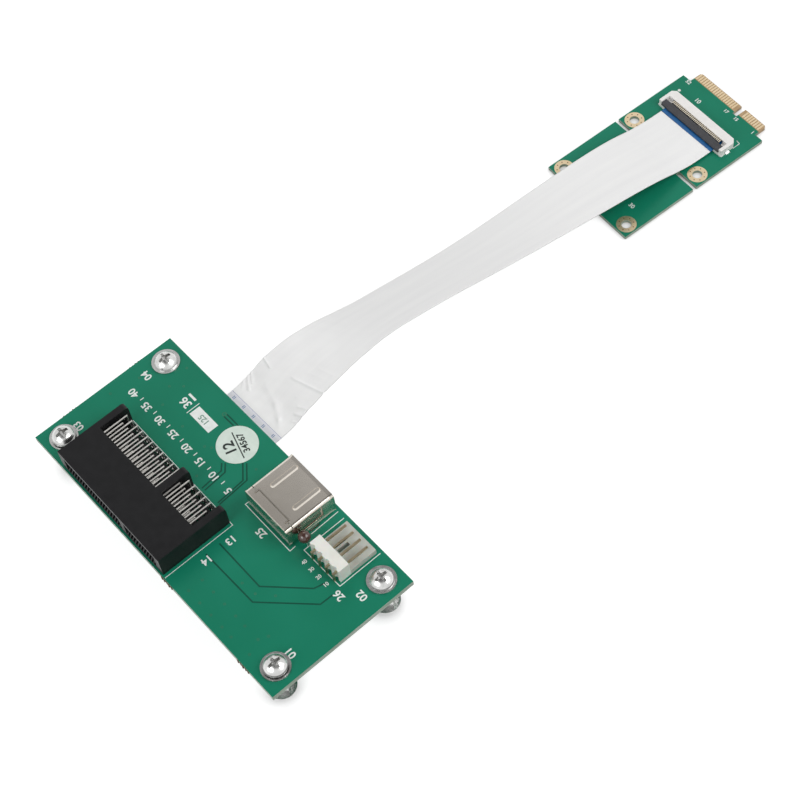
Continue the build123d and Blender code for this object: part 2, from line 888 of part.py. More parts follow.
def ribbon(board_end, card_end):
    """Flat cable on its real route, ended square against the two stiffened ends."""
    start = board_end.position
    finish = card_end.position
    along = Vector(finish.X - start.X, finish.Y - start.Y)
    turn = degrees(atan2(along.Y, along.X)) - 90
    points = list(route)
    points[0] = (-ribbon_overrun, route[0][1])
    points[-1] = (along.length + ribbon_overrun, route[-1][1])
    radii = ribbon_radii()
    path = FilletPolyline(*[(0, s, z) for s, z in points], radius=radii)
    section = Plane((0, points[0][0], points[0][1]), (1, 0, 0), (0, 1, 0))
    strip = sweep(section * Rectangle(ribbon_width, ribbon_thickness), path=path)
    print("ribbon radii", [round(radius, 1) for radius in radii])
    print("ribbon length", round(path.length - 2 * ribbon_overrun, 1))
    print("ribbon volume over section times length",
          round(strip.volume / (ribbon_width * ribbon_thickness * path.length), 4))
    strip = Pos(start.X, start.Y, 0) * Rot(0, 0, turn) * strip
    trim = Box(2 * ribbon_width, 4 * ribbon_overrun, 2 * board_top)
    strip -= board_end * Pos(0, -2 * ribbon_overrun, 0) * trim
    return strip - card_end * Pos(0, 2 * ribbon_overrun, 0) * trim


def build():
    """Every node in the frame of the main board's middle."""
    card = Pos(card_x, card_y, 0) * Rot(0, 0, card_turn)
    on_card = card * Pos(0, card_ffc_mouth, card_thickness)
    under_board = Pos(board_ffc_x, board_ffc_mouth, board_bottom) * Rot(180, 0, 0)
    board_end = Pos(board_ffc_x, board_ffc_mouth + cable_end_outside, 0)
    card_end = card * Pos(0, card_ffc_mouth - cable_end_outside, 0)
    low_washer = board_bottom - standoff_height
    nodes = {
        "main_board": main_board(),
        "top_screws": at_board_holes(
            pan_screw(top_screw_length), board_top + washer_thickness, front_lift=loose_screw_lift
        ),
        "top_washers": at_board_holes(washer(), board_top),
        "standoffs": at_board_holes(standoff(), low_washer),
        "bottom_washers": at_board_holes(washer(), low_washer, upside_down=True),
        "bottom_screws": at_board_holes(
            pan_screw(bottom_screw_length), low_washer - washer_thickness, upside_down=True
        ),
        "slot_housing": slot_housing(),
        "slot_upper_contacts": slot_contacts(True),
        "slot_lower_contacts": slot_contacts(False),
        "slot_lead_aligner": slot_lead_aligner(),
        "slot_solder": slot_solder(),
        "port_solder": port_solder(),
        "usb_shell": usb_shell(),
        "usb_insulator": usb_insulator(),
        "usb_contacts": usb_contacts(),
        "power_header_body": header_body(),
        "power_header_pins": header_pins(),
        "bead_capacitor": bead_capacitor(),
        "bead_capacitor_leads": bead_leads(),
        "round_label": round_label(),
        "card_board": card * card_board(),
        "card_edge_contacts": card * card_fingers(),
        "card_hole_pads": card * card_pads(),
        "ribbon": ribbon(board_end, card_end),
    }
    for name, place in (("card", on_card), ("board", under_board)):
        nodes[f"{name}_ffc_housing"] = place * ffc_housing()
        nodes[f"{name}_ffc_latch"] = place * ffc_latch()
        nodes[f"{name}_ffc_contacts"] = place * ffc_contacts()
        nodes[f"{name}_ffc_anchors"] = place * ffc_anchors()
        nodes[f"{name}_cable_end"] = place * cable_end()
    return nodes


def origin_shift(nodes):
    """Moves the middle of the rigid pieces' plan to the origin."""
    boxes = [shape.bounding_box() for name, shape in nodes.items() if name != "ribbon"]
    low_x = min(box.min.X for box in boxes)
    high_x = max(box.max.X for box in boxes)
    low_y = min(box.min.Y for box in boxes)
    high_y = max(box.max.Y for box in boxes)
    return Pos(-(low_x + high_x) / 2, -(low_y + high_y) / 2, 0)


os.makedirs("parts", exist_ok=True)
made = build()
shift = origin_shift(made)
print("origin shift", shift.position)
for node_name, node_shape in made.items():
    export_step(shift * node_shape, f"parts/{node_name}.step")
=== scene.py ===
import math
import bpy
from mathutils import Matrix, Vector


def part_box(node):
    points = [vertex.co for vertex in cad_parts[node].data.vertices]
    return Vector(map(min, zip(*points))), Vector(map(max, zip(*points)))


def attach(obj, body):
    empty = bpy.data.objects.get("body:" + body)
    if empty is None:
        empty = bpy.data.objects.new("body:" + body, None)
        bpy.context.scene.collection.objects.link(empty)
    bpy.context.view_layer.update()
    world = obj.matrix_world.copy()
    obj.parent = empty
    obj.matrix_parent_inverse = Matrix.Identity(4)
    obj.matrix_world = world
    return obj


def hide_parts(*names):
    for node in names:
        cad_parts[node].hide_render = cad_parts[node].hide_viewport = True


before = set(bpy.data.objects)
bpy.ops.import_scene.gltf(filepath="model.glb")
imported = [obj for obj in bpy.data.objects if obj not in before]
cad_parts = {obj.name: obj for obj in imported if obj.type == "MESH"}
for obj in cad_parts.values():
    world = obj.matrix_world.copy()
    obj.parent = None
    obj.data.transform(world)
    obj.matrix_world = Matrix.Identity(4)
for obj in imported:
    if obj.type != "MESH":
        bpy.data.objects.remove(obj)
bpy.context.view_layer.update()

MM = 0.001

# Sizes and places in millimetres: on the main board from its middle, on the card from the card's
# middle, and heights from the table
CARD_CENTRE = (-8.8, 152.5)
CARD_TURN = math.radians(-3.2)
CARD_TOP = 1.0
CARD_MASK_END = 22.4
CARD_HOLES_X = 12.1
CARD_HOLES_Y = (-23.05, 1.1)
BOARD_TOP = 12.0
BOARD_BOTTOM = 10.4
BOARD_HALF = (45.0, 20.25)
INK = 0.03
LABEL_THICKNESS = 0.1
LABEL_TURN = 163
HEADER_WALL_REAR = 11.35
SLOT_LEAD_GROUPS = ((-30.85, 21), (-7.85, 11))
SLOT_LEAD_ROWS = (-1.7, -3.5)
USB_REAR = 5.5

# The ribbon's route, as in the part: distance along and height, in metres
RIBBON_START = (-14.6, 16.7)
RIBBON_END = (0.0, 8.0)
RIBBON_ROUTE = [
    (0.0, 0.0097), (0.0078, 0.0097), (0.0165, 0.0151), (0.0305, 0.0175), (0.0495, 0.0151),
    (0.0755, 0.0104), (0.1015, 0.0079), (0.1235, 0.0056), (0.1364, 0.0017), (0.1439, 0.0017),
]
RIBBON_WIDTH = 18.5
RIBBON_THICKNESS = 0.3
RIBBON_COLUMNS = 80

# Where along the ribbon, in millimetres, its twist and its folds come on and fade out
TWIST = math.radians(23)
TWIST_COMES = (14, 46)
TWIST_GOES = (55, 141)
FOLDS_COME = (6, 9)
FOLDS_GO = (30, 48)

# The clear strip at the main board and the film's wires, in millimetres; the slant is a share
STRIP_END = 5.8
STRIP_SLANT = -0.05
RULE_WIDTH = 0.11
TICK_PITCH = 3.7
WIRE_PITCH = 0.5

# Camera, solved from the photograph: place in millimetres on the main board's axes, three directions,
# and focal length in pixels of an 800 pixel frame
CAMERA_PLACE = (202.65, -79.82, 386.79)
CAMERA_RIGHT = (0.65384, 0.75216, -0.08215)
CAMERA_DOWN = (0.61402, -0.5909, -0.52327)
CAMERA_AHEAD = (-0.44213, 0.29169, -0.8482)
FOCAL_PIXELS = 1879.63
FRAME_PIXELS = 800
SENSOR = 36.0

# Surroundings: what mirrors see is white where a ray rises less than the low value, and falls to the
# high level where it rises more than the high one; then the light that they give, and the floor's own
SKY_LOW = 0.70
SKY_HIGH = 0.96
SKY_HIGH_LEVEL = 0.15
SKY_LIGHT = 0.34
FLOOR_SHADE = 0.42
FLOOR_GLOW = 0.82
# How far the painted contact shade on the floor's glow reaches, in metres
PAINTED_CONTACT_SHADE_REACH = 0.004

board_low, board_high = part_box("main_board")
board_middle = (board_low + board_high) / 2
BOARD = Matrix.Translation((board_middle.x, board_middle.y, 0))
CARD = BOARD @ Matrix.Translation((CARD_CENTRE[0] * MM, CARD_CENTRE[1] * MM, 0))
CARD = CARD @ Matrix.Rotation(CARD_TURN, 4, "Z")


# Camera, lights and floor

def make_camera():
    """The camera that took the photograph."""
    data = bpy.data.cameras.new("camera")
    camera = bpy.data.objects.new("camera", data)
    bpy.context.scene.collection.objects.link(camera)
    data.sensor_width = SENSOR
    data.lens = FOCAL_PIXELS * SENSOR / FRAME_PIXELS
    data.clip_start = 0.01
    data.clip_end = 10
    right = Vector(CAMERA_RIGHT)
    up = -Vector(CAMERA_DOWN)
    back = -Vector(CAMERA_AHEAD)
    turn = Matrix((right, up, back)).transposed().to_quaternion().to_matrix().to_4x4()
    camera.matrix_world = Matrix.Translation(BOARD @ (Vector(CAMERA_PLACE) * MM)) @ turn
    bpy.context.scene.camera = camera


def area_light(name, place, target, size, power, mirrored=True):
    """A soft lamp; one that is not mirrored lights the object and makes no highlight."""
    data = bpy.data.lights.new(name, "AREA")
    data.shape = "RECTANGLE"
    data.size, data.size_y = size
    data.energy = power
    light = bpy.data.objects.new(name, data)
    bpy.context.scene.collection.objects.link(light)
    light.visible_glossy = mirrored
    place = Vector(place)
    aim = Vector(target) - place
    light.matrix_world = Matrix.Translation(place) @ aim.to_track_quat("-Z", "Y").to_matrix().to_4x4()


def make_lights():
    """A key light behind on the right, a weaker one behind on the left, and a fill in front."""
    middle = (0, 0, 0)
    area_light("light_key", (0.40, 0.32, 0.52), middle, (0.5, 0.5), 2.6)
    area_light("light_back", (-0.48, 0.25, 0.65), middle, (0.4, 0.4), 1.1, mirrored=False)
    area_light("light_fill", (0.05, -0.70, 0.50), middle, (0.5, 0.4), 2.3)


def seen_directly(nodes, links):
    """1 on rays from the camera, mirrors and glass, 0 on rays that only carry light."""
    path = nodes.new("ShaderNodeLightPath")
    first = nodes.new("ShaderNodeMath")
    first.operation = "MAXIMUM"
    links.new(path.outputs["Is Camera Ray"], first.inputs[0])
    links.new(path.outputs["Is Glossy Ray"], first.inputs[1])
    second = nodes.new("ShaderNodeMath")
    second.operation = "MAXIMUM"
    links.new(first.outputs[0], second.inputs[0])
    links.new(path.outputs["Is Transmission Ray"], second.inputs[1])
    return second.outputs[0]


def make_world():
    """White all round near the horizon and darker overhead, so that metal has something to show."""
    world = bpy.data.worlds.new("studio")
    bpy.context.scene.world = world
    world.use_nodes = True
    nodes, links = world.node_tree.nodes, world.node_tree.links
    background = nodes["Background"]
    background.inputs["Color"].default_value = (1, 1, 1, 1)
    place = nodes.new("ShaderNodeTexCoord")
    parts = nodes.new("ShaderNodeSeparateXYZ")
    links.new(place.outputs["Generated"], parts.inputs[0])
    sky = nodes.new("ShaderNodeMapRange")
    sky.interpolation_type = "SMOOTHSTEP"
    sky.inputs["From Min"].default_value = SKY_LOW
    sky.inputs["From Max"].default_value = SKY_HIGH
    sky.inputs["To Min"].default_value = 1.0
    sky.inputs["To Max"].default_value = SKY_HIGH_LEVEL
    links.new(parts.outputs["Z"], sky.inputs["Value"])
    level = nodes.new("ShaderNodeMapRange")
    level.inputs["To Min"].default_value = SKY_LIGHT
    links.new(sky.outputs[0], level.inputs["To Max"])
    links.new(seen_directly(nodes, links), level.inputs["Value"])
    links.new(level.outputs[0], background.inputs["Strength"])


def make_floor():
    """A white floor that keeps the object's shadow; its glow is darkened by ambient occlusion where something
    stands on it, a painted contact shade.
    """
    size = 3.0
    mesh = bpy.data.meshes.new("floor")
    corners = [(-size, -size, 0), (size, -size, 0), (size, size, 0), (-size, size, 0)]
    mesh.from_pydata(corners, [], [(0, 1, 2, 3)])
    floor = bpy.data.objects.new("floor", mesh)
    bpy.context.scene.collection.objects.link(floor)
    floor.location.z = -0.00002
    material = bpy.data.materials.new("floor")
    material.use_nodes = True
    nodes, links = material.node_tree.nodes, material.node_tree.links
    nodes.clear()
    diffuse = nodes.new("ShaderNodeBsdfDiffuse")
    diffuse.inputs["Color"].default_value = (FLOOR_SHADE, FLOOR_SHADE, FLOOR_SHADE, 1)
    glow = nodes.new("ShaderNodeEmission")
    glow.inputs["Color"].default_value = (1, 1, 1, 1)
    level = nodes.new("ShaderNodeMath")
    level.operation = "MULTIPLY"
    level.inputs[1].default_value = FLOOR_GLOW
    links.new(seen_directly(nodes, links), level.inputs[0])
    # Painted contact shade: ambient occlusion darkens the floor's glow near the parts
    contact = nodes.new("ShaderNodeAmbientOcclusion")
    contact.inputs["Distance"].default_value = PAINTED_CONTACT_SHADE_REACH
    shaded = nodes.new("ShaderNodeMath")
    shaded.operation = "MULTIPLY"
    links.new(level.outputs[0], shaded.inputs[0])
    links.new(contact.outputs["AO"], shaded.inputs[1])
    links.new(shaded.outputs[0], glow.inputs["Strength"])
    both = nodes.new("ShaderNodeAddShader")
    links.new(diffuse.outputs[0], both.inputs[0])
    links.new(glow.outputs[0], both.inputs[1])
    output = nodes.new("ShaderNodeOutputMaterial")
    links.new(both.outputs[0], output.inputs["Surface"])
    mesh.materials.append(material)


# Materials

def shader(name, roughness=0.5, metallic=0.0, **more):
    """A new material with plain values on its shader."""
    material = bpy.data.materials.new(name)
    material.use_nodes = True
    bsdf = material.node_tree.nodes["Principled BSDF"]
    bsdf.inputs["Metallic"].default_value = metallic
    bsdf.inputs["Roughness"].default_value = roughness
    for socket, value in more.items():
        bsdf.inputs[socket.replace("_", " ")].default_value = value
    return material, material.node_tree.nodes, material.node_tree.links, bsdf


def object_place(nodes):
    """Where a point lies on its own object, in metres."""
    return nodes.new("ShaderNodeTexCoord").outputs["Object"]


# Nearly all the values of a noise lie between these two
NOISE_LOW = 0.3
NOISE_HIGH = 0.7


def noise(nodes, links, scale, detail=3.0, stretch=(1, 1, 1)):
    """Noise with features about one over scale metres across."""
    mapping = nodes.new("ShaderNodeMapping")
    mapping.inputs["Scale"].default_value = stretch
    links.new(object_place(nodes), mapping.inputs["Vector"])
    texture = nodes.new("ShaderNodeTexNoise")
    texture.inputs["Scale"].default_value = scale
    texture.inputs["Detail"].default_value = detail
    links.new(mapping.outputs[0], texture.inputs["Vector"])
    return texture.outputs["Fac"]


def blend(nodes, links, factor, low, high):
    """Colour from low to high as a noise goes over its range."""
    ramp = nodes.new("ShaderNodeValToRGB")
    ramp.color_ramp.elements[0].position = NOISE_LOW
    ramp.color_ramp.elements[0].color = (*low, 1)
    ramp.color_ramp.elements[1].position = NOISE_HIGH
    ramp.color_ramp.elements[1].color = (*high, 1)
    links.new(factor, ramp.inputs["Fac"])
    return ramp.outputs["Color"]


def spread(nodes, links, factor, low, high):
    """A number from low to high as a noise goes over its range."""
    scale = nodes.new("ShaderNodeMapRange")
    scale.inputs["From Min"].default_value = NOISE_LOW
    scale.inputs["From Max"].default_value = NOISE_HIGH
    scale.inputs["To Min"].default_value = low
    scale.inputs["To Max"].default_value = high
    links.new(factor, scale.inputs["Value"])
    return scale.outputs[0]


def bump(nodes, links, bsdf, height, distance, strength=1.0):
    """Relief of the given depth in metres."""
    node = nodes.new("ShaderNodeBump")
    node.inputs["Distance"].default_value = distance
    node.inputs["Strength"].default_value = strength
    links.new(height, node.inputs["Height"])
    links.new(node.outputs[0], bsdf.inputs["Normal"])


def varied(name, low, high, scale, roughness, metallic=0.0, relief=0.0, **more):
    """A material whose colour, gloss and surface vary a little with a noise."""
    material, nodes, links, bsdf = shader(name, roughness[0], metallic, **more)
    grain = noise(nodes, links, scale)
    links.new(blend(nodes, links, grain, low, high), bsdf.inputs["Base Color"])
    links.new(spread(nodes, links, grain, *roughness), bsdf.inputs["Roughness"])
    if relief:
        bump(nodes, links, bsdf, noise(nodes, links, scale * 4, 2.0), relief)
    return material


def above(nodes, links, value, limit):
    """1 where the value is over the limit, and 0 elsewhere."""
    test = nodes.new("ShaderNodeMath")
    test.operation = "GREATER_THAN"
    test.inputs[1].default_value = limit
    links.new(value, test.inputs[0])
    return test.outputs[0]


def choose(nodes, links, factor, low, high):
    """Colour low where factor is 0 and high where it is 1; each is a socket or a colour."""
    mix = nodes.new("ShaderNodeMix")
    mix.data_type = "RGBA"
    links.new(factor, mix.inputs["Factor"])
    for name, value in (("A", low), ("B", high)):
        if isinstance(value, tuple):
            mix.inputs[name].default_value = (*value, 1)
        else:
            links.new(value, mix.inputs[name])
    return mix.outputs["Result"]


def measure(nodes, links, matrix, axis):
    """How far a point lies along one axis of a frame, in millimetres."""
    direction = matrix.to_3x3() @ Vector(axis) / MM
    shift = -direction.dot(matrix.translation)
    dot = nodes.new("ShaderNodeVectorMath")
    dot.operation = "DOT_PRODUCT"
    dot.inputs[1].default_value = direction
    links.new(object_place(nodes), dot.inputs[0])
    add = nodes.new("ShaderNodeMath")
    add.inputs[1].default_value = shift
    links.new(dot.outputs["Value"], add.inputs[0])
    return add.outputs[0]


def board_material(name, bare_tab=False):
    """Green lacquer over copper and glass cloth, with the bare cloth at the cut edges and on a tab."""
    material, nodes, links, bsdf = shader(name, 0.33, Specular_IOR_Level=0.25)
    cloud = noise(nodes, links, 45, 2.0)
    mask = blend(nodes, links, cloud, (0.0035, 0.178, 0.100), (0.0065, 0.208, 0.124))
    weave = noise(nodes, links, 900, 1.0, (1, 0.3, 1))
    core = blend(nodes, links, weave, (0.22, 0.30, 0.22), (0.36, 0.44, 0.36))
    geometry = nodes.new("ShaderNodeNewGeometry")
    parts = nodes.new("ShaderNodeSeparateXYZ")
    links.new(geometry.outputs["True Normal"], parts.inputs[0])
    upright = nodes.new("ShaderNodeMath")
    upright.operation = "ABSOLUTE"
    links.new(parts.outputs["Z"], upright.inputs[0])
    colour = choose(nodes, links, above(nodes, links, upright.outputs[0], 0.5), core, mask)
    if bare_tab:
        cloth = noise(nodes, links, 1500, 2.0, (1, 0.4, 1))
        laminate = blend(nodes, links, cloth, (0.40, 0.27, 0.145), (0.50, 0.35, 0.20))
        along = measure(nodes, links, CARD, (0, 1, 0))
        colour = choose(nodes, links, above(nodes, links, along, CARD_MASK_END), colour, laminate)
    links.new(colour, bsdf.inputs["Base Color"])
    links.new(spread(nodes, links, cloud, 0.30, 0.38), bsdf.inputs["Roughness"])
    bump(nodes, links, bsdf, noise(nodes, links, 700, 2.0), 0.00001, 0.5)
    return material


def header_material(name):
    """White nylon, painted darker behind the wall: partly the dark board seen through the thin tray floor,
    partly painted shade of the wall and pins.
    """
    material, nodes, links, bsdf = shader(name, 0.4, Subsurface_Weight=0.15, Subsurface_Scale=0.002)
    grain = noise(nodes, links, 300)
    solid = blend(nodes, links, grain, (0.78, 0.78, 0.72), (0.84, 0.84, 0.79))
    # Painted shade: all of the body behind the wall gets a darker colour, for the tray shaded by the wall and
    # pins as well as the board below its thin floor
    tray_shaded_colour = blend(nodes, links, grain, (0.46, 0.48, 0.435), (0.53, 0.55, 0.50))
    along = measure(nodes, links, BOARD, (0, 1, 0))
    colour = choose(nodes, links, above(nodes, links, along, HEADER_WALL_REAR), solid, tray_shaded_colour)
    links.new(colour, bsdf.inputs["Base Color"])
    links.new(spread(nodes, links, grain, 0.35, 0.45), bsdf.inputs["Roughness"])
    return material


def ribbon_material():
    """White film; the strip at the main board is clear film with a thin blue line and ticks."""
    material, nodes, links, bsdf = shader("ribbon_film", 0.38, 0.0, Coat_Weight=0.25, Coat_Roughness=0.25)
    uv = nodes.new("ShaderNodeUVMap")
    uv.uv_map = "along"
    parts = nodes.new("ShaderNodeSeparateXYZ")
    links.new(uv.outputs[0], parts.inputs[0])
    across, distance = parts.outputs["X"], parts.outputs["Y"]

    def band(value, low, high):
        inside = nodes.new("ShaderNodeMath")
        inside.operation = "SUBTRACT"
        links.new(above(nodes, links, value, low), inside.inputs[0])
        links.new(above(nodes, links, value, high), inside.inputs[1])
        return inside.outputs[0]

    def both(first, second):
        product = nodes.new("ShaderNodeMath")
        product.operation = "MULTIPLY"
        links.new(first, product.inputs[0])
        links.new(second, product.inputs[1])
        return product.outputs[0]

    streak = nodes.new("ShaderNodeTexNoise")
    streak.inputs["Scale"].default_value = 1.0
    streak.inputs["Detail"].default_value = 3.0
    mapping = nodes.new("ShaderNodeMapping")
    mapping.inputs["Scale"].default_value = (0.5, 0.03, 1)
    links.new(uv.outputs[0], mapping.inputs["Vector"])
    links.new(mapping.outputs[0], streak.inputs["Vector"])
    film = blend(nodes, links, streak.outputs["Fac"], (0.865, 0.865, 0.865), (0.905, 0.905, 0.90))
    slant = nodes.new("ShaderNodeMath")
    slant.operation = "MULTIPLY_ADD"
    slant.inputs[1].default_value = STRIP_SLANT
    links.new(across, slant.inputs[0])
    links.new(distance, slant.inputs[2])
    distance = slant.outputs[0]
    strip = band(distance, -1.0, STRIP_END)
    colour = choose(nodes, links, strip, film, (0.84, 0.84, 0.90))
    rule = band(distance, STRIP_END, STRIP_END + RULE_WIDTH)
    colour = choose(nodes, links, rule, colour, (0.36, 0.38, 0.56))
    pitch = nodes.new("ShaderNodeMath")
    pitch.operation = "PINGPONG"
    pitch.inputs[1].default_value = TICK_PITCH / 2
    links.new(across, pitch.inputs[0])
    ticks = both(band(pitch.outputs[0], 0.12, 0.30), band(distance, STRIP_END - 1.35, STRIP_END - 0.45))
    colour = choose(nodes, links, ticks, colour, (0.12, 0.24, 0.48))
    links.new(colour, bsdf.inputs["Base Color"])
    links.new(spread(nodes, links, streak.outputs["Fac"], 0.34, 0.42), bsdf.inputs["Roughness"])
    wire = nodes.new("ShaderNodeMath")
    wire.operation = "MULTIPLY"
    wire.inputs[1].default_value = 2 * math.pi / WIRE_PITCH
    links.new(across, wire.inputs[0])
    wave = nodes.new("ShaderNodeMath")
    wave.operation = "SINE"
    links.new(wire.outputs[0], wave.inputs[0])
    bump(nodes, links, bsdf, wave.outputs[0], 0.000003)
    return material


def make_materials():
    """Every material by its short name."""
    return {
        "pcb": board_material("board_lacquer"),
        "card": board_material("card_lacquer", bare_tab=True),
        "ink": varied("white_ink", (0.74, 0.78, 0.75), (0.84, 0.87, 0.85), 900, (0.5, 0.6)),
        "groove": varied("lacquer_in_gap", (0.002, 0.068, 0.042), (0.0035, 0.085, 0.052), 300, (0.35, 0.4),
                         Specular_IOR_Level=0.25),
        "via": varied("lacquered_hole", (0.020, 0.150, 0.085), (0.035, 0.185, 0.105), 300, (0.35, 0.45),
                      Specular_IOR_Level=0.3),
        "break": varied("broken_laminate", (0.10, 0.075, 0.045), (0.20, 0.15, 0.09), 1500, (0.7, 0.85)),
        "black": varied("black_plastic", (0.0056, 0.0056, 0.0064), (0.0082, 0.0082, 0.0092), 500, (0.40, 0.5),
                        relief=0.000006, Specular_IOR_Level=0.28),
        "white": varied("white_plastic", (0.78, 0.78, 0.72), (0.84, 0.84, 0.79), 300, (0.35, 0.45),
                        relief=0.000005, Subsurface_Weight=0.15, Subsurface_Scale=0.002),
        "header": header_material("header_nylon"),
        "ivory": varied("white_housing", (0.82, 0.80, 0.78), (0.88, 0.86, 0.84), 400, (0.38, 0.5),
                        relief=0.000005),
        "latch": varied("latch_plastic", (0.038, 0.038, 0.043), (0.055, 0.055, 0.062), 500, (0.4, 0.5),
                        relief=0.000005),
        "nickel": varied("nickel_sheet", (0.66, 0.61, 0.54), (0.74, 0.69, 0.62), 90, (0.17, 0.24), 1.0),
        "shade": varied("nickel_shade", (0.40, 0.37, 0.33), (0.46, 0.43, 0.38), 300, (0.3, 0.4), 1.0),
        "zinc": varied("zinc_plate", (0.58, 0.58, 0.57), (0.76, 0.76, 0.75), 600, (0.16, 0.30), 1.0,
                       relief=0.000003),
        "lead": varied("tinned_lead", (0.76, 0.74, 0.70), (0.88, 0.86, 0.82), 600, (0.26, 0.38), 1.0),
        "brass": varied("header_pin", (0.42, 0.35, 0.22), (0.52, 0.44, 0.30), 500, (0.25, 0.35), 1.0),
        "gold": varied("gold_plate", (0.88, 0.70, 0.44), (0.95, 0.78, 0.54), 500, (0.28, 0.40), 1.0),
        "pale_gold": varied("pale_gold", (0.86, 0.76, 0.58), (0.94, 0.84, 0.68), 500, (0.3, 0.4), 1.0),
        "solder": varied("solder", (0.60, 0.60, 0.60), (0.74, 0.74, 0.74), 900, (0.25, 0.45), 1.0,
                         relief=0.000006),
        "bead": varied("bead_lacquer", (0.045, 0.018, 0.014), (0.075, 0.030, 0.022), 500, (0.12, 0.2),
                       Coat_Weight=0.6, Coat_Roughness=0.05),
        "blue": varied("blue_film", (0.003, 0.085, 0.26), (0.006, 0.12, 0.34), 400, (0.25, 0.35)),
        "label": varied("label_paper", (0.62, 0.72, 0.65), (0.70, 0.79, 0.72), 500, (0.45, 0.6)),
        "label_print": varied("label_print", (0.010, 0.016, 0.014), (0.020, 0.028, 0.025), 700, (0.45, 0.6)),
        "block_print": varied("block_print", (0.16, 0.28, 0.22), (0.22, 0.34, 0.28), 700, (0.45, 0.6)),
        # Flat discs for the card's small holes: copper tone with painted shade of their insides
        "pad_hole_shade": varied("pad_hole_shade", (0.20, 0.09, 0.035), (0.28, 0.13, 0.055), 700, (0.45, 0.6)),
        "ribbon": ribbon_material(),
    }


NODE_MATERIALS = {
    "main_board": "pcb", "card_board": "card",
    "slot_housing": "black", "slot_lead_aligner": "black",
    "slot_upper_contacts": "lead", "slot_lower_contacts": "lead",
    "slot_solder": "solder", "port_solder": "solder",
    "usb_shell": "nickel", "usb_insulator": "white", "usb_contacts": "gold",
    "power_header_body": "header", "power_header_pins": "brass",
    "bead_capacitor": "bead", "bead_capacitor_leads": "lead", "round_label": "label",
    "top_screws": "zinc", "top_washers": "zinc", "standoffs": "zinc",
    "bottom_screws": "zinc", "bottom_washers": "zinc",
    "card_edge_contacts": "gold", "card_hole_pads": "gold", "ribbon": "ribbon",
    "card_ffc_housing": "ivory", "board_ffc_housing": "ivory",
    "card_ffc_latch": "latch", "board_ffc_latch": "latch",
    "card_ffc_contacts": "pale_gold", "board_ffc_contacts": "pale_gold",
    "card_ffc_anchors": "solder", "board_ffc_anchors": "solder",
    "card_cable_end": "blue", "board_cable_end": "blue",
}


def dress_nodes(materials):
    """Each node of the part gets its material."""
    for name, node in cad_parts.items():
        node.data.materials.clear()
        node.data.materials.append(materials[NODE_MATERIALS[name]])


# Thin pieces of ink, copper and print

def prism(outline, low, high):
    """A solid from a plan outline, between two heights."""
    count = len(outline)
    points = [(x, y, low) for x, y in outline] + [(x, y, high) for x, y in outline]
    faces = [tuple(range(count))[::-1], tuple(range(count, 2 * count))]
    for i in range(count):
        after = (i + 1) % count
        faces.append((i, after, after + count, i + count))
    return points, faces


def bar(left, right, near, far, low, high):
    """A block given by its limits along X and Y and its two heights."""
    return prism([(left, near), (right, near), (right, far), (left, far)], low, high)


def line(route, width, low, high):
    """A band of one width along a plan route, mitred at its corners."""
    points = [Vector(p) for p in route]
    runs = [(b - a).normalized() for a, b in zip(points, points[1:])]
    sides = [Vector((-r.y, r.x)) for r in runs]
    offsets = [sides[0]]
    for a, b in zip(sides, sides[1:]):
        middle = (a + b).normalized()
        offsets.append(middle / middle.dot(a))
    offsets.append(sides[-1])
    half = width / 2
    left = [tuple(p + o * half) for p, o in zip(points, offsets)]
    right = [tuple(p - o * half) for p, o in zip(points, offsets)]
    return prism(right + left[::-1], low, high)


def disc(x, y, radius, low, high, sides=24):
    """A round disc between two heights."""
    turns = [2 * math.pi * i / sides for i in range(sides)]
    return prism([(x + radius * math.cos(a), y + radius * math.sin(a)) for a in turns], low, high)


def ring(x, y, inner, outer, low, high, sides):
    """A flat ring between two heights."""
    points, faces = [], []
    for i in range(sides):
        angle = 2 * math.pi * i / sides
        c, s = math.cos(angle), math.sin(angle)
        for radius, z in ((inner, low), (outer, low), (outer, high), (inner, high)):
            points.append((x + radius * c, y + radius * s, z))
    for i in range(sides):
        after = (i + 1) % sides
        for k in range(4):
            nxt = (k + 1) % 4
            faces.append((4 * i + k, 4 * after + k, 4 * after + nxt, 4 * i + nxt))
    return points, faces


# The font's size and its added weight, as shares of a digit's height
FONT_SIZE = 1.38
FONT_WEIGHT = 0.03


def digits(text, x, y, height, angle, low, high):
    """Plain digits centred on a place, as a solid of the given thickness."""
    curve = bpy.data.curves.new("digits", "FONT")
    curve.body = text
    curve.size = FONT_SIZE * height
    curve.offset = FONT_WEIGHT * height
    curve.align_x = "CENTER"
    curve.align_y = "CENTER"
    curve.resolution_u = 4
    curve.extrude = (high - low) / 2
    holder = bpy.data.objects.new("digits", curve)
    mesh = bpy.data.meshes.new_from_object(holder)
    turn = Matrix.Translation((x, y, (low + high) / 2)) @ Matrix.Rotation(math.radians(angle), 4, "Z")
    points = [tuple(turn @ v.co) for v in mesh.vertices]
    faces = [tuple(p.vertices) for p in mesh.polygons]
    bpy.data.objects.remove(holder)
    bpy.data.curves.remove(curve)
    bpy.data.meshes.remove(mesh)
    return points, faces


def piece(name, shapes, matrix, material):
    """One object from several shapes given in millimetres in the matrix's frame."""
    points, faces = [], []
    for shape_points, shape_faces in shapes:
        start = len(points)
        points += [matrix @ (Vector(p) * MM) for p in shape_points]
        faces += [tuple(i + start for i in face) for face in shape_faces]
    mesh = bpy.data.meshes.new(name)
    mesh.from_pydata(points, [], faces)
    mesh.materials.append(material)
    made = bpy.data.objects.new(name, mesh)
    bpy.context.scene.collection.objects.link(made)
    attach(made, "adapter")


